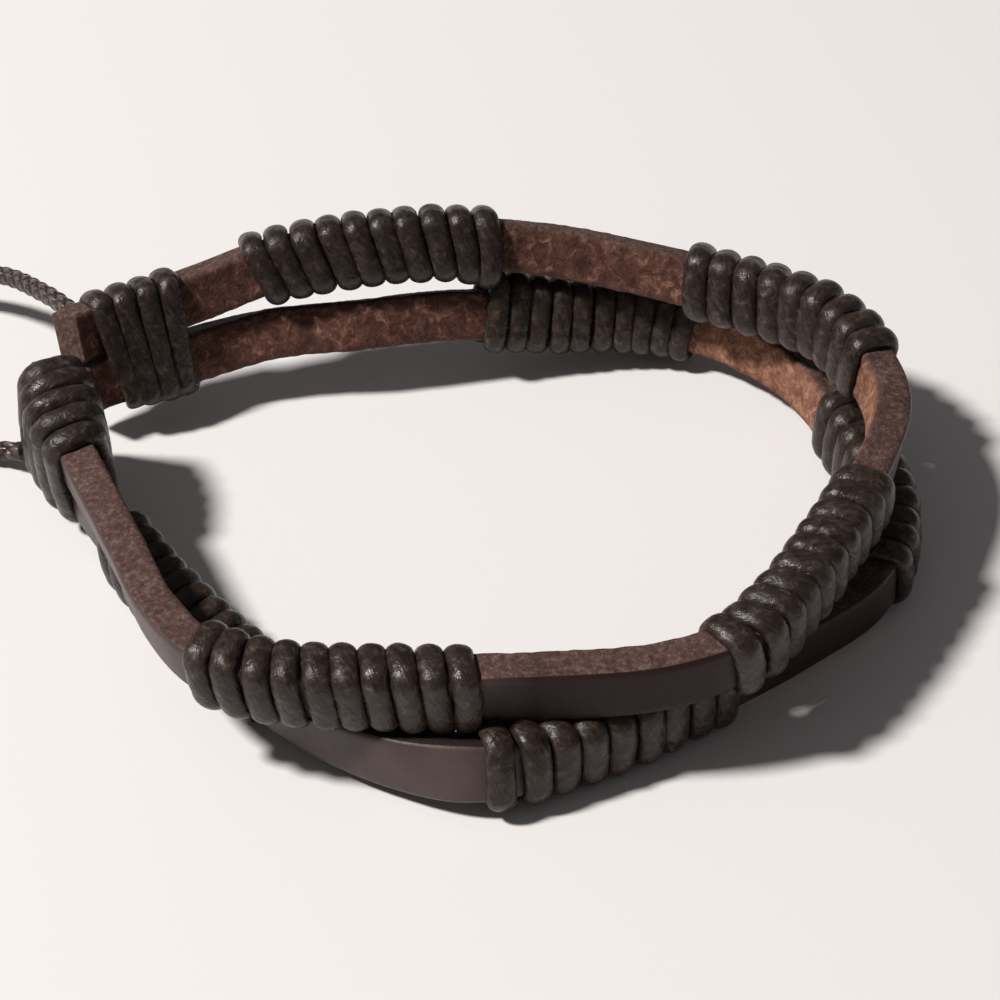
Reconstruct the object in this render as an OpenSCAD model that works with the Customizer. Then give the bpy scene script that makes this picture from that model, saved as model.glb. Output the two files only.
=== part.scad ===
/* [Leather straps] */
// Width of each leather strap, standing on edge
strap_w = 4; // [3.6:0.1:4]
// Thickness of each leather strap
strap_t = 2.8; // [2:0.1:2.9]
// Rounding of the long edges of the leather
edge_r = 0.4; // [0.2:0.05:0.6]

/* [Cord wraps] */
// How far one turn of cord stands off the leather
turn_h = 0.95; // [0.6:0.05:1]
// Depth of the furrow between two turns
furrow = 0.4; // [0.1:0.05:0.5]
// Clear space between the leather and the cord round it
wrap_gap = 0.12; // [0.05:0.01:0.15]
// Clear space between the leather and the bindings that hold both ends
binding_gap = 0.24; // [0.1:0.02:0.3]
// How far the tight turns of the back end binding stand off the leather
back_turn_h = 0.65; // [0.6:0.05:1]
// How much the front end binding swells at its middle
front_belly = 0.7; // [0:0.1:0.8]

/* [Closure] */
// Thickness of the loose waxed cord
cord_d = 1.5; // [1:0.1:1.6]
// Length of the sliding knot
knot_len = 7; // [5:0.5:8]
// Radius of the sliding knot over its turns
knot_r = 2.1; // [1.8:0.1:2.2]
// Number of turns in the sliding knot
knot_turns = 5; // [4:1:6]
// Clear space between the knot and the cord through it
knot_gap = 0.08; // [0.05:0.01:0.1]

/* [Hidden] */
// The loop lies on its lower edge, +X to the right, +Y to the back and +Z up
// Middle of the loop in the measure of the routes below
middle = [-2.7, -6.6, -0.1];

// Centre line of each strap, from its back end round the right to its front end
// Columns: x, y, height, lean outward in degrees
UPPER_ROUTE = [
    [-33.5, 9.0, 8.9, 18],
    [-31.9, 10.6, 8.7, 18],
    [-27.8, 12.4, 8.9, 19],
    [-22.8, 14.5, 9.7, 20],
    [-18.2, 15.9, 10.8, 20],
    [-11.4, 17.2, 11.5, 20],
    [-4.0, 18.3, 11.4, 24],
    [4.0, 19.0, 10.2, 26],
    [10.5, 17.8, 9.5, 24],
    [17.9, 14.9, 9.3, 20],
    [24.9, 10.6, 9.5, 13],
    [28.3, 4.7, 9.3, 10],
    [29.2, -1.8, 9.3, 10],
    [27.2, -9.2, 9.3, 6],
    [24.0, -16.2, 9.3, 4],
    [20.2, -23.0, 9.2, 4],
    [16.5, -27.7, 9.0, 4],
    [11.0, -29.9, 8.5, 4],
    [3.0, -30.5, 8.2, 4],
    [-6.0, -30.7, 8.2, 4],
    [-15.0, -30.2, 8.2, 6],
    [-20.5, -27.9, 8.2, 8],
    [-24.0, -23.2, 8.2, 11],
    [-26.5, -17.1, 8.2, 12],
    [-29.2, -10.8, 8.4, 12],
    [-31.8, -4.7, 8.5, 8],
    [-33.7, 1.0, 9.3, 5],
    [-34.2, 3.0, 9.6, 4]
];
LOWER_ROUTE = [
    [-32.6, 8.1, 4.6, 16],
    [-31.2, 9.3, 4.7, 18],
    [-27.2, 10.8, 4.7, 19],
    [-22.7, 13.3, 4.7, 24],
    [-17.7, 14.7, 5.2, 34],
    [-11.4, 15.2, 5.6, 34],
    [-4.0, 16.7, 5.5, 32],
    [4.0, 18.4, 4.2, 24],
    [12.0, 19.2, 3.5, 24],
    [18.5, 17.0, 3.1, 22],
    [23.6, 12.0, 3.1, 14],
    [26.4, 6.0, 3.2, 10],
    [28.6, -1.5, 3.1, 5],
    [29.2, -8.0, 3.0, 0],
    [27.0, -14.5, 3.0, 0],
    [21.5, -19.8, 3.0, 0],
    [15.8, -24.2, 3.0, 0],
    [10.5, -28.0, 3.0, 0],
    [5.0, -31.0, 3.0, 0],
    [-1.0, -33.0, 3.0, 0],
    [-7.4, -31.6, 3.0, 0],
    [-14.0, -27.7, 3.0, 2],
    [-19.9, -21.1, 3.1, 4],
    [-24.6, -14.9, 3.1, 6],
    [-27.7, -9.8, 3.2, 8],
    [-31.5, -3.3, 3.9, 7],
    [-34.0, 2.3, 5.1, 4],
    [-34.6, 4.3, 5.7, 3]
];

// Cord wraps on one strap
// Columns: start and end in mm along the strap's centre line, number of turns
UPPER_WRAPS = [
    [15.6, 35.4, 10],
    [50.7, 70.0, 9],
    [85.3, 107.1, 10],
    [124.0, 144.0, 10]
];
LOWER_WRAPS = [
    [32.8, 50.7, 10],
    [66.8, 87.4, 10],
    [103.7, 123.4, 9],
    [141.4, 161.0, 10]
];

// Bindings round both straps at the two ends
// Columns: start on the upper and lower strap, end on the upper and lower strap, turns
BACK_BINDING = [2.9, 3.5, 10.1, 9.7, 4];
FRONT_BINDING = [168.0, 166.8, 177.2, 175.5, 5];

// Loose cord from the back binding round the left to the front binding, in the same measure
// Columns: x, y, height
CORD_ROUTE = [
    [-33.2, 12.2, 8.8],
    [-36.2, 16.7, 7.6],
    [-40.7, 22.8, 5.1],
    [-46.5, 25.6, 3.0],
    [-54.1, 24.9, 1.3],
    [-63.0, 22.0, 0.9],
    [-70.0, 17.0, 1.2],
    [-72.0, 13.0, 2.2],
    [-72.0, 10.0, 2.2],
    [-72.0, 7.0, 2.2],
    [-72.0, 4.0, 2.2],
    [-72.0, 1.0, 2.2],
    [-69.5, -3.0, 1.1],
    [-63.0, -5.0, 0.7],
    [-54.0, -4.6, 0.9],
    [-46.2, -0.4, 0.9],
    [-40.6, 4.5, 0.9],
    [-37.0, 3.6, 2.0]
];
// Place of the knot's middle along that cord
KNOT_POINT = [-72.0, 7.0, 2.2];

// Stations along a strap, along one turn of cord and along the loose cord
STRAP_STATIONS = 62;
TURN_STATIONS = 3;
CORD_STATIONS = 60;
// Steps between two rows of a route when its length is measured
ROUTE_STEPS = 12;
// Corner steps of the leather's section and of a wrap's section
LEATHER_STEPS = 1;
WRAP_STEPS = 2;
// Length either side of a station that its direction is taken over
REACH = 0.6;
// Sides of the loose cord, of the knot and of the section of one of its turns
CORD_SIDES = 8;
KNOT_SIDES = 48;
TURN_SIDES = 24;
// Depth of the furrows between the knot's turns, as a share of a turn's radius
KNOT_FURROW = 0.6;
// Length that the knot's bore runs past each end
OVERRUN = 1;

LEATHER = [0.28, 0.18, 0.16];
WAXED_CORD = [0.22, 0.19, 0.17];

// Row of a route, with one row added by extension past each end
function row(route, i) =
    let (last = len(route) - 1)
    i < 0 ? 2 * route[0] - route[1] :
    i > last ? 2 * route[last] - route[last - 1] : route[i];

// Smooth curve through the rows, at place u counted in rows
function curve(route, u) =
    let (
        i = min(floor(u), len(route) - 2),
        t = u - i,
        a = row(route, i - 1),
        b = row(route, i),
        c = row(route, i + 1),
        d = row(route, i + 2)
    )
    b + t / 2 * (c - a + t * (2 * a - 5 * b + 4 * c - d + t * (3 * b - 3 * c + d - a)));

function xyz(p) = [p.x, p.y, p.z];

// Pairs of length along the route and place in rows, for lookup()
function length_table(route) =
    let (
        count = (len(route) - 1) * ROUTE_STEPS,
        p = [for (i = [0:count]) xyz(curve(route, i / ROUTE_STEPS))]
    )
    [for (i = 0, s = 0; i <= count; s = s + (i < count ? norm(p[i + 1] - p[i]) : 0), i = i + 1)
        [s, i / ROUTE_STEPS]];

// A rail is a route with its table of lengths
function rail(route) = [route, length_table(route)];
function rail_length(rail) = rail[1][len(rail[1]) - 1][0];
function rail_at(rail, s) = curve(rail[0], lookup(s, rail[1]));

// Centre, outward direction and upward direction of a rail at length s
function rail_frame(rail, s) =
    let (
        here = rail_at(rail, s),
        way = xyz(rail_at(rail, s + REACH)) - xyz(rail_at(rail, s - REACH)),
        out = unit([-way.y, way.x, 0]),
        up = unit(cross(way, out)),
        lean = here[3]
    )
    [xyz(here) - middle, out * cos(lean) - up * sin(lean), up * cos(lean) + out * sin(lean)];

function unit(v) = v / norm(v);

// Points of a rectangle with rounded corners, from its half sides
function rounded(half_t, half_w, r, steps) = [
    for (corner = [0:3], k = [0:steps])
        let (
            a = 90 * corner + 90 * k / steps,
            sx = corner == 0 || corner == 3 ? 1 : -1,
            sy = corner < 2 ? 1 : -1
        )
        [sx * (half_t - r) + r * cos(a), sy * (half_w - r) + r * sin(a)]
];

function ring(frame, section) = [for (p = section) frame[0] + p.x * frame[1] + p.y * frame[2]];

// Closed skin through rings of equally many points, with its ends capped or joined to each other
module skin(rings, joined = false) {
    m = len(rings[0]);
    n = len(rings);
    sides = [
        for (i = [0:n - (joined ? 1 : 2)], j = [0:m - 1])
            let (a = i * m, b = ((i + 1) % n) * m, k = (j + 1) % m)
            each [[a + j, b + k, a + k], [a + j, b + j, b + k]]
    ];
    caps = joined ? [] : [[for (j = [0:m - 1]) j], [for (j = [m - 1:-1:0]) (n - 1) * m + j]];
    polyhedron([for (r = rings) each r], concat(sides, caps));
}

module strap(rail) {
    section = rounded(strap_t / 2, strap_w / 2, edge_r, LEATHER_STEPS);
    step = rail_length(rail) / STRAP_STATIONS;
    color(LEATHER) skin([for (i = [0:STRAP_STATIONS]) ring(rail_frame(rail, i * step), section)]);
}

// Height of the cord over the leather at a station of a wrap, low between the turns
function turn_top(i, h) = i % TURN_STATIONS == 0 ? h - furrow : h;

// Wrap of cord turns; a frame's fourth value is the half height of the leather in it
module wrap(frames, gap, tops) {
    half_t = strap_t / 2 + gap;
    outer = [for (i = [0:len(frames) - 1])
        ring(frames[i], rounded(half_t + tops[i], frames[i][3] + gap + tops[i], edge_r + tops[i], WRAP_STEPS))];
    bore = [for (i = [len(frames) - 1:-TURN_STATIONS:0])
        ring(frames[i], rounded(half_t, frames[i][3] + gap, edge_r, WRAP_STEPS))];
    color(WAXED_CORD) skin(concat(outer, bore), joined = true);
}

module strap_wrap(rail, place) {
    count = place[2] * TURN_STATIONS;
    step = (place[1] - place[0]) / count;
    frames = [for (i = [0:count]) concat(rail_frame(rail, place[0] + i * step), [strap_w / 2])];
    wrap(frames, wrap_gap, [for (i = [0:count]) turn_top(i, turn_h)]);
}

// Frame of a ring round both straps, with its half height as the fourth value
function both_frame(s_upper, s_lower) =
    let (
        u = rail_frame(upper, s_upper),
        l = rail_frame(lower, s_lower),
        span = u[0] - l[0],
        up = unit(span)
    )
    [(u[0] + l[0]) / 2, unit(u[1] - (u[1] * up) * up), up, norm(span) / 2 + strap_w / 2 / (u[2] * up)];

module binding(place, h, belly) {
    count = place[4] * TURN_STATIONS;
    frames = [for (i = [0:count])
        let (f = i / count)
        both_frame(place[0] + f * (place[2] - place[0]), place[1] + f * (place[3] - place[1]))];
    wrap(frames, binding_gap, [for (i = [0:count]) turn_top(i, h) + belly * sin(180 * i / count)]);
}

upper = rail(UPPER_ROUTE);
lower = rail(LOWER_ROUTE);
cord = rail(CORD_ROUTE);

module upper_strap() {
    strap(upper);
}

module lower_strap() {
    strap(lower);
}

module back_binding() {
    binding(BACK_BINDING, back_turn_h, 0);
}

module front_binding() {
    binding(FRONT_BINDING, turn_h, front_belly);
}

// Round cord swept along its route
module closure_cord() {
    step = rail_length(cord) / CORD_STATIONS;
    section = [for (j = [0:CORD_SIDES - 1]) cord_d / 2 * [cos(360 * j / CORD_SIDES), sin(360 * j / CORD_SIDES)]];
    color(WAXED_CORD) skin([for (i = [0:CORD_STATIONS]) ring(cord_frame(i * step), section)]);
}

function cord_frame(s) =
    let (
        way = rail_at(cord, s + REACH) - rail_at(cord, s - REACH),
        out = unit([-way.y, way.x, 0])
    )
    [rail_at(cord, s) - middle, out, unit(cross(way, out))];

// Barrel of round turns bored through for the cord
module sliding_knot() {
    turn_r = knot_len / knot_turns / 2;
    core_r = knot_r - KNOT_FURROW * turn_r;
    bore_r = cord_d / 2 + knot_gap;
    color(WAXED_CORD)
        translate(KNOT_POINT - middle)
            rotate([90, 0, 0])
                difference() {
                    union() {
                        cylinder(h = knot_len - 2 * turn_r, r = core_r, center = true, $fn = KNOT_SIDES);
                        for (i = [0:knot_turns - 1])
                            translate([0, 0, (2 * i + 1) * turn_r - knot_len / 2])
                                rotate_extrude($fn = KNOT_SIDES)
                                    translate([knot_r - turn_r, 0])
                                        circle(r = turn_r, $fn = TURN_SIDES);
                    }
                    cylinder(h = knot_len + 2 * OVERRUN, r = bore_r, center = true, $fn = KNOT_SIDES);
                }
}

upper_strap();
lower_strap();
strap_wrap(upper, UPPER_WRAPS[0]);  // upper_wrap_1
strap_wrap(upper, UPPER_WRAPS[1]);  // upper_wrap_2
strap_wrap(upper, UPPER_WRAPS[2]);  // upper_wrap_3
strap_wrap(upper, UPPER_WRAPS[3]);  // upper_wrap_4
strap_wrap(lower, LOWER_WRAPS[0]);  // lower_wrap_1
strap_wrap(lower, LOWER_WRAPS[1]);  // lower_wrap_2
strap_wrap(lower, LOWER_WRAPS[2]);  // lower_wrap_3
strap_wrap(lower, LOWER_WRAPS[3]);  // lower_wrap_4
back_binding();
front_binding();
closure_cord();
sliding_knot();
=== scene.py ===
import math

import bpy
import numpy as np
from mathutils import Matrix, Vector


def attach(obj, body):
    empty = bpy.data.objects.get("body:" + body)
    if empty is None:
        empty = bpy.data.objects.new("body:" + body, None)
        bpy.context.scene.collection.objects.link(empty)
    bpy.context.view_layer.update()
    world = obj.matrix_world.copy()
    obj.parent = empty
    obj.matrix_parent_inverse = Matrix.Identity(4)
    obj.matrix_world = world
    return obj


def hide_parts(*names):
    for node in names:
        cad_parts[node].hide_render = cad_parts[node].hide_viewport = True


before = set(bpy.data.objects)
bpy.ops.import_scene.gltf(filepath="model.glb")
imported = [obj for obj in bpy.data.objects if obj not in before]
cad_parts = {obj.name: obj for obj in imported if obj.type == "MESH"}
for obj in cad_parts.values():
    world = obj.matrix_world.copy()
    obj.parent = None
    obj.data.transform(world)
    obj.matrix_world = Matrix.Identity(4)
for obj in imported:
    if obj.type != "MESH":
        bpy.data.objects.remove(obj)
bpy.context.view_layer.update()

# Metres in a millimetre, and the body that every piece rides on
MM = 0.001
BODY = "root"

# Sizes of the leather and the cord, in mm
STRAP_W = 4.0
STRAP_T = 2.8
EDGE_R = 0.4
CORD_D = 1.5

# Knot on the closure cord: its radius and length in mm, its turns and its middle in the routes' measure
KNOT_R = 2.1
KNOT_LEN = 7.0
KNOT_TURNS = 5
KNOT_POINT = [-72.0, 7.0, 2.2]

# Middle of the loop in the measure of the routes below
MIDDLE = np.array([-2.7, -6.6, -0.1])

# Centre lines. Columns: x, y, height, lean outward in degrees
# They are those of the part's source, but for three rows of the lower strap at the front,
# where its top leans inward and it lies a little further out
UPPER_ROUTE = [
    [-33.5, 9.0, 8.9, 18],
    [-31.9, 10.6, 8.7, 18],
    [-27.8, 12.4, 8.9, 19],
    [-22.8, 14.5, 9.7, 20],
    [-18.2, 15.9, 10.8, 20],
    [-11.4, 17.2, 11.5, 20],
    [-4.0, 18.3, 11.4, 24],
    [4.0, 19.0, 10.2, 26],
    [10.5, 17.8, 9.5, 24],
    [17.9, 14.9, 9.3, 20],
    [24.9, 10.6, 9.5, 13],
    [28.3, 4.7, 9.3, 10],
    [29.2, -1.8, 9.3, 10],
    [27.2, -9.2, 9.3, 6],
    [24.0, -16.2, 9.3, 4],
    [20.2, -23.0, 9.2, 4],
    [16.5, -27.7, 9.0, 4],
    [11.0, -29.9, 8.5, 4],
    [3.0, -30.5, 8.2, 4],
    [-6.0, -30.7, 8.2, 4],
    [-15.0, -30.2, 8.2, 6],
    [-20.5, -27.9, 8.2, 8],
    [-24.0, -23.2, 8.2, 11],
    [-26.5, -17.1, 8.2, 12],
    [-29.2, -10.8, 8.4, 12],
    [-31.8, -4.7, 8.5, 8],
    [-33.7, 1.0, 9.3, 5],
    [-34.2, 3.0, 9.6, 4],
]
LOWER_ROUTE = [
    [-32.6, 8.1, 4.6, 16],
    [-31.2, 9.3, 4.7, 18],
    [-27.2, 10.8, 4.7, 19],
    [-22.7, 13.3, 4.7, 24],
    [-17.7, 14.7, 5.2, 34],
    [-11.4, 15.2, 5.6, 34],
    [-4.0, 16.7, 5.5, 32],
    [4.0, 18.4, 4.2, 24],
    [12.0, 19.2, 3.5, 24],
    [18.5, 17.0, 3.1, 22],
    [23.6, 12.0, 3.1, 14],
    [26.4, 6.0, 3.2, 10],
    [28.6, -1.5, 3.1, 5],
    [29.2, -8.0, 3.0, 0],
    [27.0, -14.5, 3.0, 0],
    [21.5, -19.8, 3.0, 0],
    [15.8, -24.2, 3.0, 0],
    [10.5, -28.0, 3.0, 0],
    [5.0, -31.0, 3.0, -2],
    [-1.0, -33.4, 3.2, -19],
    [-7.4, -31.7, 3.0, -4],
    [-14.0, -27.7, 3.0, 2],
    [-19.9, -21.1, 3.1, 4],
    [-24.6, -14.9, 3.1, 6],
    [-27.7, -9.8, 3.2, 8],
    [-31.5, -3.3, 3.9, 7],
    [-34.0, 2.3, 5.1, 4],
    [-34.6, 4.3, 5.7, 3],
]
CORD_ROUTE = [
    [-33.2, 12.2, 8.8, 0],
    [-36.2, 16.7, 7.6, 0],
    [-40.7, 22.8, 5.1, 0],
    [-46.5, 25.6, 3.0, 0],
    [-54.1, 24.9, 1.3, 0],
    [-63.0, 22.0, 0.9, 0],
    [-70.0, 17.0, 1.2, 0],
    [-72.0, 13.0, 2.2, 0],
    [-72.0, 10.0, 2.2, 0],
    [-72.0, 7.0, 2.2, 0],
    [-72.0, 4.0, 2.2, 0],
    [-72.0, 1.0, 2.2, 0],
    [-69.5, -3.0, 1.1, 0],
    [-63.0, -5.0, 0.7, 0],
    [-54.0, -4.6, 0.9, 0],
    [-46.2, -0.4, 0.9, 0],
    [-40.6, 4.5, 0.9, 0],
    [-37.0, 3.6, 2.0, 0],
]

# Wraps, from the back end on. Columns: start and end in mm along the strap's centre line, turns
UPPER_WRAPS = [[15.6, 35.4, 10], [50.7, 70.0, 9], [85.3, 107.1, 10], [124.0, 144.0, 10]]
LOWER_WRAPS = [[32.8, 50.7, 10], [66.8, 87.4, 10], [103.7, 123.4, 9], [141.4, 161.0, 10]]
# Bindings. Columns: start on the upper and lower strap, end on the upper and lower strap, turns
BACK_BINDING = [2.9, 3.5, 10.1, 9.7, 4]
FRONT_BINDING = [168.0, 166.8, 177.2, 175.5, 5]

# Camera: it looks at the origin of the routes' measure, from this far in metres and this high.
# Its lens and sensor are in mm, and the nearest and the farthest that it sees in metres
LOOK_AT = Vector((-MIDDLE * MM).tolist())
CAMERA_DISTANCE = 0.270
CAMERA_ELEVATION = math.radians(39.0)
CAMERA_LENS = 125.82
CAMERA_SENSOR = 36.0
CAMERA_NEAR = 0.01
CAMERA_FAR = 20.0

# Pale light all round, and a round lamp like a window: the way its light goes, how far away it is
# and how wide in metres, its power and its colour
ROOM_COLOR = (1.0, 0.96, 0.99, 1.0)
ROOM_STRENGTH = 0.10
WINDOW_WAY = (0.75, 0.15, -1.0)
WINDOW_DISTANCE = 1.2
WINDOW_SIZE = 0.17
WINDOW_POWER = 17.0
WINDOW_COLOR = (1.0, 0.97, 0.945)


# Camera and light

def make_camera():
    """Camera in front of the bracelet and above it."""
    data = bpy.data.cameras.new("camera")
    data.lens = CAMERA_LENS
    data.sensor_width = CAMERA_SENSOR
    data.clip_start = CAMERA_NEAR
    data.clip_end = CAMERA_FAR
    camera = bpy.data.objects.new("camera", data)
    reach = CAMERA_DISTANCE * math.cos(CAMERA_ELEVATION)
    rise = CAMERA_DISTANCE * math.sin(CAMERA_ELEVATION)
    camera.location = LOOK_AT + Vector((0.0, -reach, rise))
    camera.rotation_euler = (math.pi / 2 - CAMERA_ELEVATION, 0.0, 0.0)
    bpy.context.scene.collection.objects.link(camera)
    bpy.context.scene.camera = camera


def make_window():
    """A round lamp high on the left that shines onto the bracelet."""
    way = Vector(WINDOW_WAY).normalized()
    data = bpy.data.lights.new("window", "AREA")
    data.shape = "DISK"
    data.size = WINDOW_SIZE
    data.energy = WINDOW_POWER
    data.color = WINDOW_COLOR
    lamp = bpy.data.objects.new("window", data)
    lamp.location = -way * WINDOW_DISTANCE
    lamp.rotation_euler = way.to_track_quat("-Z", "Y").to_euler()
    bpy.context.scene.collection.objects.link(lamp)


def make_surroundings():
    """Pale light all round, and the window."""
    scene = bpy.context.scene
    world = bpy.data.worlds.new("room")
    world.use_nodes = True
    background = world.node_tree.nodes["Background"]
    background.inputs["Color"].default_value = ROOM_COLOR
    background.inputs["Strength"].default_value = ROOM_STRENGTH
    scene.world = world
    scene.view_settings.view_transform = "Standard"
    make_window()


# Routes and sections

class Rail:
    """Smooth line through a route's rows, measured in mm along it.
    It has this many points from row to row, and its way is taken from this far before and after."""

    STEPS = 24
    REACH = 0.6

    def __init__(self, rows):
        rows = np.array(rows, float)
        padded = np.vstack([2 * rows[0] - rows[1], rows, 2 * rows[-1] - rows[-2]])
        t = np.arange(self.STEPS)[:, None] / self.STEPS
        parts = []
        for i in range(len(rows) - 1):
            a, b, c, d = padded[i:i + 4]
            bend = t * (2 * a - 5 * b + 4 * c - d + t * (3 * b - 3 * c + d - a))
            parts.append(b + t / 2 * (c - a + bend))
        self.points = np.vstack(parts + [rows[-1:]])
        steps = np.linalg.norm(np.diff(self.points[:, :3], axis=0), axis=1)
        self.lengths = np.concatenate([[0.0], np.cumsum(steps)])
        self.length = self.lengths[-1]

    def at(self, s):
        """Place and lean at each length, as in a route's row."""
        return np.stack([np.interp(s, self.lengths, self.points[:, k]) for k in range(4)], -1)

    def frames(self, s):
        """Centre, outward direction and upward direction at each length, in mm in the part's frame."""
        s = np.asarray(s, float)
        here = self.at(s)
        way = (self.at(s + self.REACH) - self.at(s - self.REACH))[:, :3]
        out = unit(np.stack([-way[:, 1], way[:, 0], 0 * s], -1))
        up = unit(np.cross(way, out))
        lean = np.radians(here[:, 3:4])
        return (
            here[:, :3] - MIDDLE,
            out * np.cos(lean) - up * np.sin(lean),
            up * np.cos(lean) + out * np.sin(lean),
        )


def unit(v):
    """The same directions with length one."""
    return v / np.linalg.norm(v, axis=-1, keepdims=True)


def rounded_loop(share, half_t, half_w, r):
    """Points and outward normals of a rounded rectangle at these shares of the strap's girth.
    It starts at the middle of the outer side and goes over the top, down inside and back below."""
    side = 2 * (STRAP_W / 2 - EDGE_R)
    top = 2 * (STRAP_T / 2 - EDGE_R)
    arc = math.pi / 2 * np.mean(r)
    knots = np.cumsum([0, side / 2, arc, top, arc, side, arc, top, arc, side / 2])
    knots = knots / knots[-1]
    across = [1, 1, 1, -1, -1, -1, -1, 1, 1, 1]
    upward = [0, 1, 1, 1, 1, -1, -1, -1, -1, 0]
    angle = np.array([0, 0, 1, 1, 2, 2, 3, 3, 4, 4]) * math.pi / 2
    share = np.mod(share, 1.0)
    turn = np.interp(share, knots, angle)
    normal = np.stack([np.cos(turn), np.sin(turn)], -1)
    plan = np.stack([
        (half_t - r) * np.interp(share, knots, across),
        (half_w - r) * np.interp(share, knots, upward),
    ], -1)
    return plan + np.asarray(r)[..., None] * normal, normal


def lumps(points, size, seed):
    """Smooth random height between -1 and 1 at points in mm, with lumps of about this size.
    Each corner of a grid gets a height of its own, from its whole coordinates and the seed."""
    p = np.asarray(points, float).reshape(-1, 3) / size
    cell = np.floor(p).astype(np.int64)
    f = p - cell
    f = f * f * (3 - 2 * f)
    total = np.zeros(len(p))
    for corner in range(8):
        step = np.array([corner & 1, corner >> 1 & 1, corner >> 2 & 1])
        q = cell + step
        h = q[:, 0] * 374761393 + q[:, 1] * 668265263 + q[:, 2] * 1442695041 + seed * 974634777
        h = (h ^ (h >> 13)) * 1274126177
        value = ((h ^ (h >> 16)) & 0xFFFF) / 32767.5 - 1
        total += value * np.prod(np.where(step, f, 1 - f), axis=1)
    return total.reshape(np.shape(points)[:-1])


def relief(points, rows, seed):
    """Height in mm of an uneven surface. Rows: height and size of its lumps, in mm."""
    return sum(height * lumps(points, size, seed + i) for i, (height, size) in enumerate(rows))


def skin(name, rings, along, material, capped=True):
    """Mesh through rings of points in mm, with its length and its share round the section as its UV map."""
    count, sides = rings.shape[:2]
    i = np.arange(count - 1)[:, None] * sides
    j = np.arange(sides)[None, :]
    k = (j + 1) % sides
    faces = np.stack([i + j, i + k, i + sides + k, i + sides + j], -1).reshape(-1, 4).tolist()
    if capped:
        faces.append(list(range(sides - 1, -1, -1)))
        faces.append(list(range((count - 1) * sides, count * sides)))
    mesh = bpy.data.meshes.new(name)
    mesh.from_pydata((rings.reshape(-1, 3) * MM).tolist(), [], faces)
    mesh.polygons.foreach_set("use_smooth", [True] * len(faces))
    u0 = np.repeat(along[:-1], sides)
    u1 = np.repeat(along[1:], sides)
    v0 = np.tile(np.arange(sides) / sides, count - 1)
    v1 = v0 + 1 / sides
    uv = np.stack([u0, v0, u0, v1, u1, v1, u1, v0], -1).reshape(-1)
    uv = np.concatenate([uv, np.zeros(4 * sides if capped else 0)])
    mesh.uv_layers.new(name="along").data.foreach_set("uv", uv.astype(np.float32))
    mesh.materials.append(material)
    piece = bpy.data.objects.new(name, mesh)
    bpy.context.scene.collection.objects.link(piece)
    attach(piece, BODY)
    return piece


# Materials

def add(tree, kind, **settings):
    """New node with its inputs, or its own settings, set by name."""
    node = tree.nodes.new(kind)
    for name, value in settings.items():
        if hasattr(node, name):
            setattr(node, name, value)
        else:
            node.inputs[name.replace("_", " ")].default_value = value
    return node


def maths(tree, operation, first, second=None):
    """Math node on values or other nodes' outputs."""
    node = tree.nodes.new("ShaderNodeMath")
    node.operation = operation
    for slot, value in zip(node.inputs, (first, second)):
        if isinstance(value, bpy.types.NodeSocket):
            tree.links.new(value, slot)
        elif value is not None:
            slot.default_value = value
    return node.outputs[0]


def noise(tree, coords, scale, detail=3.0, distortion=0.0):
    """Noise of this many features per metre."""
    node = add(tree, "ShaderNodeTexNoise", Scale=scale, Detail=detail, Roughness=0.6, Distortion=distortion)
    tree.links.new(coords, node.inputs["Vector"])
    return node.outputs["Fac"]


def ramp(tree, factor, stops):
    """Colour ramp: (position, colour) for each stop."""
    node = tree.nodes.new("ShaderNodeValToRGB")
    elements = node.color_ramp.elements
    while len(elements) < len(stops):
        elements.new(0.5)
    for element, (position, color) in zip(elements, stops):
        element.position = position
        element.color = (*color, 1.0)
    tree.links.new(factor, node.inputs["Fac"])
    return node.outputs["Color"]


def mix(tree, factor, first, second, blend="MIX"):
    """Mix of two colours, each a value or an output."""
    node = tree.nodes.new("ShaderNodeMix")
    node.data_type = "RGBA"
    node.blend_type = blend
    for slot, value in ((node.inputs[0], factor), (node.inputs[6], first), (node.inputs[7], second)):
        if isinstance(value, bpy.types.NodeSocket):
            tree.links.new(value, slot)
        else:
            slot.default_value = (*value, 1.0) if isinstance(value, tuple) else value
    return node.outputs[2]


def bump(tree, height, depth, before=None):
    """Bump of this depth in metres, on top of an earlier one."""
    node = add(tree, "ShaderNodeBump", Strength=1.0, Distance=depth)
    tree.links.new(height, node.inputs["Height"])
    if before:
        tree.links.new(before, node.inputs["Normal"])
    return node.outputs["Normal"]


def new_material(name):
    """New material, its node tree and its shader."""
    material = bpy.data.materials.new(name)
    material.use_nodes = True
    tree = material.node_tree
    return material, tree, tree.nodes["Principled BSDF"]


def coordinates(tree):
    """Outputs for places on a piece: Object in metres, UV as length in mm and share round it."""
    return add(tree, "ShaderNodeTexCoord").outputs


def attribute(tree, name):
    """Value that the mesh holds under this name."""
    return add(tree, "ShaderNodeAttribute", attribute_name=name).outputs["Fac"]


def grey(value):
    """Colour with the same value in its three parts."""
    return (value, value, value)


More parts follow.
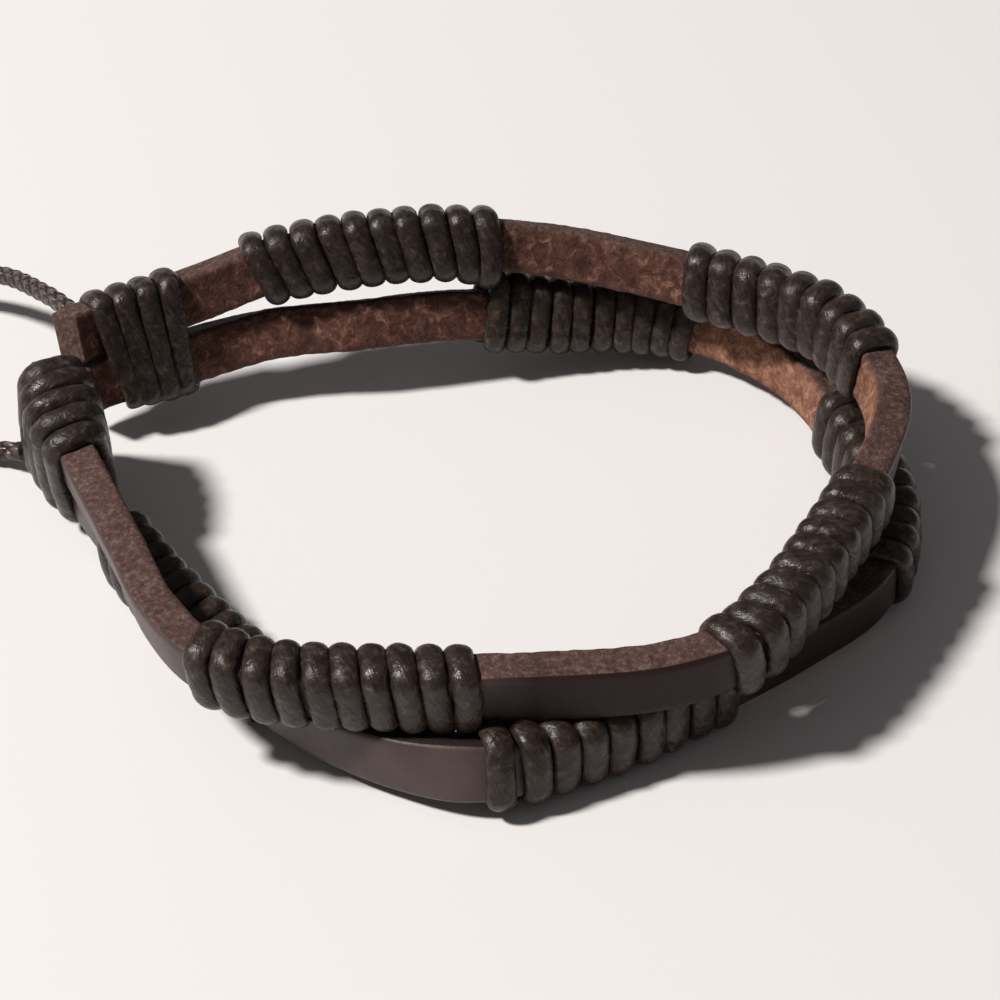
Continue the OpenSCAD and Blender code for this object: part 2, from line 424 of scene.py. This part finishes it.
def leather_skin():
    """Smooth dark grain side of the leather."""
    material, tree, shader = new_material("leather_skin")
    where = coordinates(tree)["Object"]
    soft = noise(tree, where, scale=240.0)
    fine = noise(tree, where, scale=2600.0)
    color = ramp(tree, soft, [(0.3, (0.052, 0.034, 0.032)), (0.7, (0.078, 0.051, 0.048))])
    # Painted shade: the dark mark darkens the smooth side and dulls its sheen where that side lies in shade
    dark = attribute(tree, "dark")
    color = mix(tree, dark, color, (0.024, 0.0125, 0.0115))
    tree.links.new(color, shader.inputs["Base Color"])
    dull = ramp(tree, dark, [(0.0, grey(0.40)), (1.0, grey(0.15))])
    tree.links.new(dull, shader.inputs["Specular IOR Level"])
    rough = ramp(tree, fine, [(0.3, grey(0.40)), (0.7, grey(0.52))])
    tree.links.new(rough, shader.inputs["Roughness"])
    tree.links.new(bump(tree, fine, depth=0.00003), shader.inputs["Normal"])
    return material


def leather_flesh():
    """Suede inner side and rough cut edges of the leather."""
    material, tree, shader = new_material("leather_flesh")
    where = coordinates(tree)["Object"]
    edge = attribute(tree, "edge")
    pale = attribute(tree, "pale")
    patch = noise(tree, where, scale=300.0, detail=2.0)
    vein = noise(tree, where, scale=1150.0, detail=5.0, distortion=0.9)
    nap = noise(tree, where, scale=4200.0, detail=3.0)
    grain = noise(tree, where, scale=2300.0, detail=4.0)
    suede = ramp(tree, vein, [
        (0.34, (0.046, 0.017, 0.012)),
        (0.48, (0.082, 0.033, 0.023)),
        (0.58, (0.120, 0.054, 0.038)),
        (0.68, (0.240, 0.130, 0.095)),
    ])
    raw = ramp(tree, vein, [
        (0.34, (0.150, 0.066, 0.040)),
        (0.50, (0.250, 0.122, 0.075)),
        (0.66, (0.380, 0.215, 0.145)),
    ])
    cut = ramp(tree, grain, [
        (0.34, (0.060, 0.031, 0.026)),
        (0.52, (0.095, 0.054, 0.046)),
        (0.68, (0.168, 0.110, 0.096)),
    ])
    color = mix(tree, pale, mix(tree, edge, suede, cut), raw)
    tint = ramp(tree, patch, [(0.35, (0.82, 0.74, 0.72)), (0.65, (1.08, 1.04, 1.0))])
    color = mix(tree, 1.0, color, tint, "MULTIPLY")
    shade = ramp(tree, nap, [(0.34, grey(0.70)), (0.50, grey(0.95)), (0.68, grey(1.35))])
    color = mix(tree, 0.7, color, shade, "MULTIPLY")
    # Painted shade on the lower strap's edges and inner side where they lie under the upper strap's wrap
    waxed = attribute(tree, "waxed")
    color = mix(tree, waxed, color, (0.020, 0.010, 0.009))
    tree.links.new(color, shader.inputs["Base Color"])
    shader.inputs["Roughness"].default_value = 0.8
    shader.inputs["Specular IOR Level"].default_value = 0.3
    normal = bump(tree, vein, depth=0.00014)
    tree.links.new(bump(tree, nap, depth=0.00007, before=normal), shader.inputs["Normal"])
    return material


# Braid of the waxed cord: lozenges round the cord and the length of each in mm,
# and the cord's radius in the furrows and how much the crowns add, as shares of its own
BRAID_ROUND = 4
BRAID_LENGTH = 1.6
BRAID_FURROW = 0.92
BRAID_RISE = 0.11
# Strands of the wound cord: their slant in radians for each mm along it, how fast they change along it
# for each mm, and how many there are across its radius
STRAND_SLANT = 0.5
STRAND_CHANGE = 0.25
STRAND_COUNT = 3.2


def split_uv(tree, coords):
    """Length along the cord in mm and share round it."""
    parts = tree.nodes.new("ShaderNodeSeparateXYZ")
    tree.links.new(coords["UV"], parts.inputs[0])
    return parts.outputs["X"], parts.outputs["Y"]


def loose_cord():
    """Braided cotton cord under wax, with painted shade in its furrows and a painted highlight on its
    crowns.
    """
    material, tree, shader = new_material("loose_cord")
    coords = coordinates(tree)
    where = coords["Object"]
    u, v = split_uv(tree, coords)
    along = maths(tree, "MULTIPLY", u, math.pi / BRAID_LENGTH)
    round_it = maths(tree, "MULTIPLY", v, math.pi * BRAID_ROUND)
    one_way = maths(tree, "ABSOLUTE", maths(tree, "SINE", maths(tree, "ADD", round_it, along)))
    other_way = maths(tree, "ABSOLUTE", maths(tree, "SINE", maths(tree, "SUBTRACT", round_it, along)))
    braid = maths(tree, "MULTIPLY", one_way, other_way)
    wax = noise(tree, where, scale=900.0, detail=4.0)
    fibre = noise(tree, where, scale=5200.0, detail=3.0)
    color = ramp(tree, wax, [
        (0.30, (0.036, 0.0225, 0.0170)),
        (0.50, (0.064, 0.0420, 0.0330)),
        (0.72, (0.110, 0.0780, 0.0640)),
    ])
    # Painted shade in the braid's furrows and painted highlight on its crowns
    painted_braid_light = ramp(tree, braid, [(0.1, grey(0.35)), (0.5, grey(0.8)), (0.85, grey(1.7))])
    color = mix(tree, 1.0, color, painted_braid_light, "MULTIPLY")
    tree.links.new(color, shader.inputs["Base Color"])
    rough = ramp(tree, wax, [(0.35, grey(0.26)), (0.65, grey(0.42))])
    tree.links.new(rough, shader.inputs["Roughness"])
    normal = bump(tree, braid, depth=0.00014)
    tree.links.new(bump(tree, fibre, depth=0.00002, before=normal), shader.inputs["Normal"])
    return material


def wound_cord():
    """The same cord pulled tight: smooth and waxy, with fine slanted strands under the wax."""
    material, tree, shader = new_material("wound_cord")
    coords = coordinates(tree)
    where = coords["Object"]
    u, v = split_uv(tree, coords)
    round_it = maths(tree, "MULTIPLY", v, 2 * math.pi)
    slant = maths(tree, "MULTIPLY", u, STRAND_SLANT)
    angle = maths(tree, "ADD", round_it, slant)
    lines = tree.nodes.new("ShaderNodeCombineXYZ")
    tree.links.new(maths(tree, "COSINE", angle), lines.inputs["X"])
    tree.links.new(maths(tree, "SINE", angle), lines.inputs["Y"])
    tree.links.new(maths(tree, "MULTIPLY", u, STRAND_CHANGE), lines.inputs["Z"])
    fibre = noise(tree, lines.outputs["Vector"], scale=STRAND_COUNT, detail=4.0)
    patch = noise(tree, where, scale=420.0, detail=3.0)
    wax = noise(tree, where, scale=1400.0, detail=4.0, distortion=0.6)
    color = ramp(tree, wax, [
        (0.34, (0.018, 0.0110, 0.0085)),
        (0.52, (0.032, 0.0210, 0.0165)),
        (0.64, (0.054, 0.0375, 0.0305)),
        (0.74, (0.120, 0.0910, 0.0770)),
    ])
    streak = ramp(tree, fibre, [(0.35, grey(0.65)), (0.65, grey(1.35))])
    color = mix(tree, 0.8, color, streak, "MULTIPLY")
    tree.links.new(color, shader.inputs["Base Color"])
    rough = ramp(tree, patch, [(0.35, grey(0.24)), (0.65, grey(0.42))])
    tree.links.new(rough, shader.inputs["Roughness"])
    shader.inputs["Specular IOR Level"].default_value = 0.33
    normal = bump(tree, wax, depth=0.00010)
    tree.links.new(bump(tree, fibre, depth=0.00006, before=normal), shader.inputs["Normal"])
    return material


# Floor

# Half its side in metres, and its corners as shares of that
FLOOR_HALF = 1.5
FLOOR_CORNERS = [(-1, -1), (1, -1), (1, 1), (-1, 1)]


def floor_paper():
    """Plain pale paper."""
    material, _, shader = new_material("floor")
    shader.inputs["Base Color"].default_value = (0.86, 0.838, 0.826, 1.0)
    shader.inputs["Roughness"].default_value = 0.9
    shader.inputs["Specular IOR Level"].default_value = 0.1
    return material


def make_floor(material):
    """Large square under the bracelet."""
    mesh = bpy.data.meshes.new("floor")
    corners = [(x * FLOOR_HALF, y * FLOOR_HALF, 0.0) for x, y in FLOOR_CORNERS]
    mesh.from_pydata(corners, [], [(0, 1, 2, 3)])
    mesh.materials.append(material)
    floor = bpy.data.objects.new("floor", mesh)
    bpy.context.scene.collection.objects.link(floor)


# Cord

# Points round the loose cord and distance between its rings in mm
CORD_SIDES = 32
CORD_STEP = 0.14
# Points round a wound cord
TURN_SIDES = 20
# Rings of the knot's cord, and the width of its turns as a share of the way from one to the next
KNOT_RINGS = 420
KNOT_FILL = 1.02
# Uneven surface of the wound cord. Columns: height and size of the lumps, in mm
CORD_RELIEF = [[0.055, 1.2], [0.025, 0.55]]
CORD_SEED = 5
# Least height of the wound cord above the floor in mm
FLOOR_ROOM = 0.01


def round_cord(name, centres, along, radius, material):
    """Round braided tube along centres in mm, with the braid's relief in the mesh."""
    way = unit(np.gradient(centres, axis=0))
    out = unit(np.stack([-way[:, 1], way[:, 0], 0 * along], -1))
    up = np.cross(way, out)
    share = np.arange(CORD_SIDES) / CORD_SIDES
    phase = math.pi * BRAID_ROUND * share[None, :]
    step = math.pi / BRAID_LENGTH * along[:, None]
    braid = np.abs(np.sin(phase + step) * np.sin(phase - step))
    size = radius * (BRAID_FURROW + BRAID_RISE * braid)
    turn = 2 * math.pi * share
    rings = centres[:, None] + size[..., None] * (
        np.cos(turn)[None, :, None] * out[:, None] + np.sin(turn)[None, :, None] * up[:, None]
    )
    return skin(name, rings, along, material)


def closure(material):
    """Loose cord from one binding round to the other, with its sliding knot."""
    rail = Rail(CORD_ROUTE)
    along = np.linspace(0.0, rail.length, int(rail.length / CORD_STEP))
    centres = rail.at(along)[:, :3] - MIDDLE
    cord = round_cord("closure_cord_braid", centres, along, CORD_D / 2, material)
    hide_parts("closure_cord")
    knot = sliding_knot(material)


def sliding_knot(material):
    """Turns of the same cord wound in a barrel round the loose cord."""
    pitch = KNOT_LEN / KNOT_TURNS
    turn_r = pitch / 2
    ring_r = KNOT_R - turn_r
    turns = np.linspace(0.0, KNOT_TURNS - 1.0, KNOT_RINGS)
    angle = 2 * math.pi * turns
    outward = np.stack([np.cos(angle), 0 * angle, np.sin(angle)], -1)
    centres = np.array(KNOT_POINT) - MIDDLE + ring_r * outward
    centres[:, 1] += turn_r - KNOT_LEN / 2 + pitch * turns
    along = angle * ring_r
    knot = tube("sliding_knot_turns", centres, outward, turn_r, turn_r * KNOT_FILL, along, material)
    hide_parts("sliding_knot")
    return knot


def tube(name, centres, outward, thick, wide, along, material):
    """Pressed cord: an oval tube, half as thick towards outward and half as wide across it in mm."""
    way = unit(np.gradient(centres, axis=0))
    side = unit(np.cross(way, outward))
    outward = np.cross(side, way)
    turn = 2 * math.pi * np.arange(TURN_SIDES) / TURN_SIDES
    thick = np.broadcast_to(thick, len(centres))[:, None, None]
    wide = np.broadcast_to(wide, len(centres))[:, None, None]
    rings = centres[:, None] + (
        thick * np.cos(turn)[None, :, None] * outward[:, None]
        + wide * np.sin(turn)[None, :, None] * side[:, None]
    )
    rings += relief(rings, CORD_RELIEF, CORD_SEED)[..., None] * unit(rings - centres[:, None])
    rings[..., 2] = np.maximum(rings[..., 2], FLOOR_ROOM)
    return skin(name, rings, along, material)


# Windings

# How far each side of a turn bows out and how much rounder than the leather its corners are, in mm
BOW = 0.12
ROUNDER = 0.22
# Stretch at each end of a winding where it sinks into the strap, in turns
TUCK = 0.14
# Width of a turn as a share of the way from one to the next
FILL = 1.01
# Wraps: half the thickness of the pressed cord and how far its crowns stand out, in mm, how uneven
# that and the width of the turns are, in mm and as a share, how uneven their way along the strap is,
# in turns, and points in a turn
WRAP_THICK = 0.68
WRAP_STAND = 0.92
WRAP_MESS = 0.045
WRAP_DRIFT = 0.06
WRAP_POINTS = 86
# Bindings. Columns: half the thickness of the pressed cord, how far its crowns stand out,
# how much further in the middle, how uneven all this is, and its seed
BACK_CORD = [0.50, 0.68, 0.0, 0.04, 31]
FRONT_CORD = [0.70, 0.80, 0.9, 0.14, 32]
BINDING_POINTS = 125
# Seeds: each wrap adds its number to that of its strap, and each binding adds the last one
# to its own for the way of its turns
UPPER_SEED = 10
LOWER_SEED = 20
RUN_SEED = 50


def wound(node, frames, half_w, tau, thick, pitch, stand, mess, material, seed):
    """One cord wound round a strap, or round both: turns side by side, started and ended underneath.
    Their crowns stand out by stand, give or take mess."""
    out_e = stand - thick + BOW * np.cos(4 * math.pi * tau) ** 2
    ends = np.minimum(tau - tau[0], tau[-1] - tau)
    out_e = out_e - np.interp(ends, [0.0, TUCK], [thick, 0.0])
    rng = np.random.default_rng(seed)
    knots = np.arange(math.floor(tau[0]), math.ceil(tau[-1]) + 1)
    lift = np.interp(tau, knots, rng.uniform(-mess, mess, len(knots)))
    centre, out, up = frames
    r = EDGE_R + ROUNDER + out_e + lift
    plan, normal = rounded_loop(tau, STRAP_T / 2 + out_e + lift, half_w + out_e + lift, r)
    centres = centre + plan[:, :1] * out + (plan[:, 1:] + loose(node, tau)[:, None]) * up
    outward = normal[:, :1] * out + normal[:, 1:] * up
    steps = np.linalg.norm(np.diff(centres, axis=0), axis=1)
    along = np.concatenate([[0.0], np.cumsum(steps)])
    width = pitch / 2 * FILL * (1 + np.interp(tau, knots, rng.uniform(-mess, mess, len(knots))))
    piece = tube(node + "_turns", centres, outward, thick, width, along, material)
    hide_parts(node)


# Turns that are slack. Columns: the turn where it shows most, how much higher it passes over
# the strap and how much lower under it in mm, the number of turns that it fades over and how far
# to the inner side of the strap it shows, in turns
SLACK = {
    "lower_wrap_1": [[0.3, 0.9, 0.0, 5.0, 0.0]],
    "lower_wrap_3": [[0.0, 1.0, 0.0, 3.0, 0.05], [8.4, 0.6, 0.0, 2.2, 0.12]],
    "upper_wrap_1": [[9.7, 0.0, 0.5, 2.0, 0.0]],
    "upper_wrap_3": [[9.5, 0.0, 0.5, 5.0, 0.0]],
    "upper_wrap_4": [[0.5, 0.0, 0.42, 2.5, 0.0]],
}


def loose(node, tau):
    """How far slack turns stand off upward at each place of a winding, in mm."""
    total = 0 * tau
    for most, rise, drop, reach, inward in SLACK.get(node, []):
        share = np.clip(1 - np.abs(tau - most) / reach, 0, 1)
        wave = np.sin(2 * math.pi * (tau - inward))
        total += share * (rise * np.clip(wave, 0, 1) + drop * np.clip(wave, -1, 0))
    return total


# Where a winding starts and ends, in turns. Those seen from outside start early, at the inner side
START = -0.18
EARLY_START = -0.36
EARLY = ["upper_wrap_3", "upper_wrap_4", "lower_wrap_3", "lower_wrap_4", "front_binding"]
FINISH = -0.18
# Room that its first and last turns keep to its ends, in turns. With less than none they reach past
USUAL_ROOM = 0.3
START_ROOM = {"back_binding": -0.22}
# Way of one turn along the strap, in turns, at the corners of the strap that it passes:
# outer bottom, outer top, inner top and inner bottom, and the outer bottom again
CORNERS = np.array([-0.15, 0.15, 0.36, 0.64, 0.85])
EVEN = [-0.37, -0.07, 0.14, 0.42]
# Where the turns do not run evenly
RUNS = {
    "back_binding": [-0.62, -0.20, -0.12, -0.70],
    "upper_wrap_1": [-0.45, -0.10, -0.14, 0.34],
    "lower_wrap_1": [-0.40, 0.00, 0.14, 0.02],
    "lower_wrap_3": [-0.04, -0.05, 0.12, 0.50],
}


def advance(tau, node, mess, seed):
    """Places of the points of a winding, in turns from its start."""
    run = np.array(RUNS.get(node, EVEN))
    turn = np.floor(tau - CORNERS[0])
    way = np.interp(tau - turn, CORNERS, np.append(run, run[0] + 1))
    rng = np.random.default_rng(seed)
    knots = np.arange(math.floor(tau[0] * 2) / 2, math.ceil(tau[-1]) + 0.5, 0.5)
    drift = np.interp(tau, knots, rng.uniform(-mess, mess, len(knots)))
    last = math.floor(tau[-1])
    room = START_ROOM.get(node, USUAL_ROOM)
    return np.clip(turn + 0.5 + way + drift, room, last + 1 - USUAL_ROOM)


def places(node, turns, count):
    """Points of a winding in turns, so many to a turn."""
    start = EARLY_START if node in EARLY else START
    return np.linspace(start, turns + FINISH, int(turns * count))


def strap_wrap(rail, place, node, material, seed):
    """Wrap round one strap."""
    start, end, turns = place
    pitch = (end - start) / turns
    tau = places(node, turns, WRAP_POINTS)
    frames = rail.frames(start + pitch * advance(tau, node, WRAP_DRIFT, seed))
    wound(node, frames, STRAP_W / 2, tau, WRAP_THICK, pitch, WRAP_STAND, WRAP_MESS, material, seed)


def both_frames(upper, lower, s_upper, s_lower):
    """Centre, outward and upward directions of rings round both straps, and their half heights."""
    upper_centre, upper_out, upper_up = upper.frames(s_upper)
    lower_centre = lower.at(s_lower)[:, :3] - MIDDLE
    span = upper_centre - lower_centre
    up = unit(span)
    out = unit(upper_out - (upper_out * up).sum(1, keepdims=True) * up)
    cover = STRAP_W / 2 / (upper_up * up).sum(1)
    return ((upper_centre + lower_centre) / 2, out, up), np.linalg.norm(span, axis=1) / 2 + cover


def binding(upper, lower, place, cord, node, material):
    """Winding round both straps, fuller in its middle."""
    upper_start, lower_start, upper_end, lower_end, turns = place
    thick, stand, belly, mess, seed = cord
    tau = places(node, turns, BINDING_POINTS)
    share = advance(tau, node, mess, seed + RUN_SEED) / turns
    s_upper = upper_start + share * (upper_end - upper_start)
    s_lower = lower_start + share * (lower_end - lower_start)
    frames, half_w = both_frames(upper, lower, s_upper, s_lower)
    swell = belly * np.sin(math.pi * share)
    pitch = (upper_end - upper_start) / turns
    wound(node, frames, half_w, tau, thick, pitch, stand + swell, mess, material, seed)


# Leather

# Paler stretch of each strap's rough side, and stretch of its smooth side darkened as painted shade where
# that side lies in shade:
# where it begins, is full, is full to and ends, in mm
UPPER_PALE = [68.0, 74.0, 82.0, 90.0]
LOWER_PALE = [48.0, 54.0, 66.0, 72.0]
UPPER_SKIN_SHADE = [100.0, 108.0, 120.0, 126.0]
LOWER_SKIN_SHADE = [84.0, 90.0, 101.0, 105.0]
# Stretch where the lower strap's edges and inner side are darkened as painted shade, where they lie under
# the upper strap's wrap
LOWER_SHADE_UNDER_WRAP = [118.0, 122.0, 137.0, 142.0]
# Stretch where each strap is pressed a little wider than elsewhere, by this share
UPPER_WIDE = [104.0, 109.0, 122.0, 127.0]
LOWER_WIDE = [120.0, 125.0, 130.0, 138.0]
SPREAD = 0.12
# Points round a strap and distance between its rings in mm
STRAP_SIDES = 48
STRAP_STEP = 0.22
# Uneven surface of the rough sides. Columns: height and size of the lumps, in mm
LEATHER_RELIEF = [[0.05, 0.8], [0.03, 0.35]]
LEATHER_SEED = 1
# How far the surface lies below its size in mm, and how uneven the smooth side is, as a share
LEATHER_SINK = 0.02
SMOOTH_SHARE = 0.12
# Least outward part of the normal on the smooth side, and how soon the section's corners
# turn into rough edges
SMOOTH_FROM = 0.35
EDGE_GAIN = 1.2
# Cut ends: sizes of the rings that close them as shares of the section, how far their middle bulges
# and the height and size of their lumps, in mm
END_RINGS = [0.92, 0.75, 0.5, 0.25, 0.0]
END_BULGE = 0.08
END_RELIEF = [[0.06, 0.5]]
END_SEED = 3


def stretch(along, stops):
    """Share from 0 to 1 along a stretch that begins, is full, is full to and ends at these lengths."""
    return np.interp(along, stops, [0.0, 1.0, 1.0, 0.0]) if stops else 0 * along


def cut_end(centre, ring, way):
    """Rings that close a strap's cut end, from its rim to its middle."""
    rings = []
    for size in END_RINGS:
        inner = centre + size * (ring - centre)
        bulge = relief(inner, END_RELIEF, END_SEED) + END_BULGE * (1 - size)
        rings.append(inner + bulge[:, None] * way)
    return np.array(rings)


def strap_rings(rail, s, wide):
    """Rings of a strap with its cut ends, and the outward part and upward part of their normals."""
    centre, out, up = rail.frames(s)
    share = (np.arange(STRAP_SIDES) + 0.5) / STRAP_SIDES
    plan, normal = rounded_loop(share, STRAP_T / 2, STRAP_W / 2, np.full(STRAP_SIDES, EDGE_R))
    spread = 1 + SPREAD * stretch(s, wide)[:, None, None]
    rings = centre[:, None] + (plan[None, :, :1] * out[:, None] + spread * plan[None, :, 1:] * up[:, None])
    rough = np.where(normal[:, 0] > SMOOTH_FROM, SMOOTH_SHARE, 1.0)[None, :]
    height = rough * (relief(rings, LEATHER_RELIEF, LEATHER_SEED) - LEATHER_SINK)
    push = normal[None, :, :1] * out[:, None] + normal[None, :, 1:] * up[:, None]
    rings = rings + height[..., None] * push
    first = cut_end(centre[0], rings[0], unit(centre[0] - centre[2]))
    last = cut_end(centre[-1], rings[-1], unit(centre[-1] - centre[-3]))
    return np.concatenate([first[::-1], rings, last]), normal


def mark(mesh, name, values):
    """Attribute for the materials, one value for each point."""
    values = values.reshape(-1).astype(np.float32)
    mesh.attributes.new(name, "FLOAT", "POINT").data.foreach_set("value", values)


def strap(node, rail, smooth_material, rough_material, pale, dark, wide, waxed=None):
    """Leather strap: smooth on the outer side, rough inside, on its edges and at its ends."""
    s = np.linspace(0.0, rail.length, int(rail.length / STRAP_STEP))
    rings, normal = strap_rings(rail, s, wide)
    ends = len(END_RINGS)
    along = np.concatenate([np.full(ends, s[0]), s, np.full(ends, s[-1])])
    piece = skin(node + "_leather", rings, along, smooth_material, capped=False)
    mesh = piece.data
    mesh.materials.append(rough_material)
    outer = normal[:, 0] > SMOOTH_FROM
    rough = np.tile(~(outer & np.roll(outer, -1)), (len(rings) - 1, 1))
    edge = np.tile(np.clip(np.abs(normal[:, 1]) * EDGE_GAIN, 0, 1), (len(rings), 1))
    for rows in (slice(None, ends), slice(-ends, None)):
        rough[rows] = True
        edge[rows] = 1.0
    mesh.polygons.foreach_set("material_index", rough.reshape(-1).astype(np.int32))
    whole = np.ones((1, STRAP_SIDES))
    mark(mesh, "edge", edge)
    mark(mesh, "pale", stretch(along, pale)[:, None] * (1 - edge))
    # Painted shade on the smooth side along the dark stretch
    mark(mesh, "dark", stretch(along, dark)[:, None] * whole)
    # Painted shade on the lower strap's edges and inner side under the upper strap's wrap
    mark(mesh, "waxed", stretch(along, waxed)[:, None] * whole)
    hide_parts(node)


make_camera()
closure(loose_cord())
make_surroundings()
make_floor(floor_paper())

upper_rail = Rail(UPPER_ROUTE)
lower_rail = Rail(LOWER_ROUTE)
skin_side = leather_skin()
flesh_side = leather_flesh()
strap("upper_strap", upper_rail, skin_side, flesh_side, UPPER_PALE, UPPER_SKIN_SHADE, UPPER_WIDE)
strap("lower_strap", lower_rail, skin_side, flesh_side, LOWER_PALE, LOWER_SKIN_SHADE, LOWER_WIDE, LOWER_SHADE_UNDER_WRAP)
tight = wound_cord()
for i, place in enumerate(UPPER_WRAPS, 1):
    strap_wrap(upper_rail, place, f"upper_wrap_{i}", tight, UPPER_SEED + i)
for i, place in enumerate(LOWER_WRAPS, 1):
    strap_wrap(lower_rail, place, f"lower_wrap_{i}", tight, LOWER_SEED + i)
binding(upper_rail, lower_rail, BACK_BINDING, BACK_CORD, "back_binding", tight)
binding(upper_rail, lower_rail, FRONT_BINDING, FRONT_CORD, "front_binding", tight)
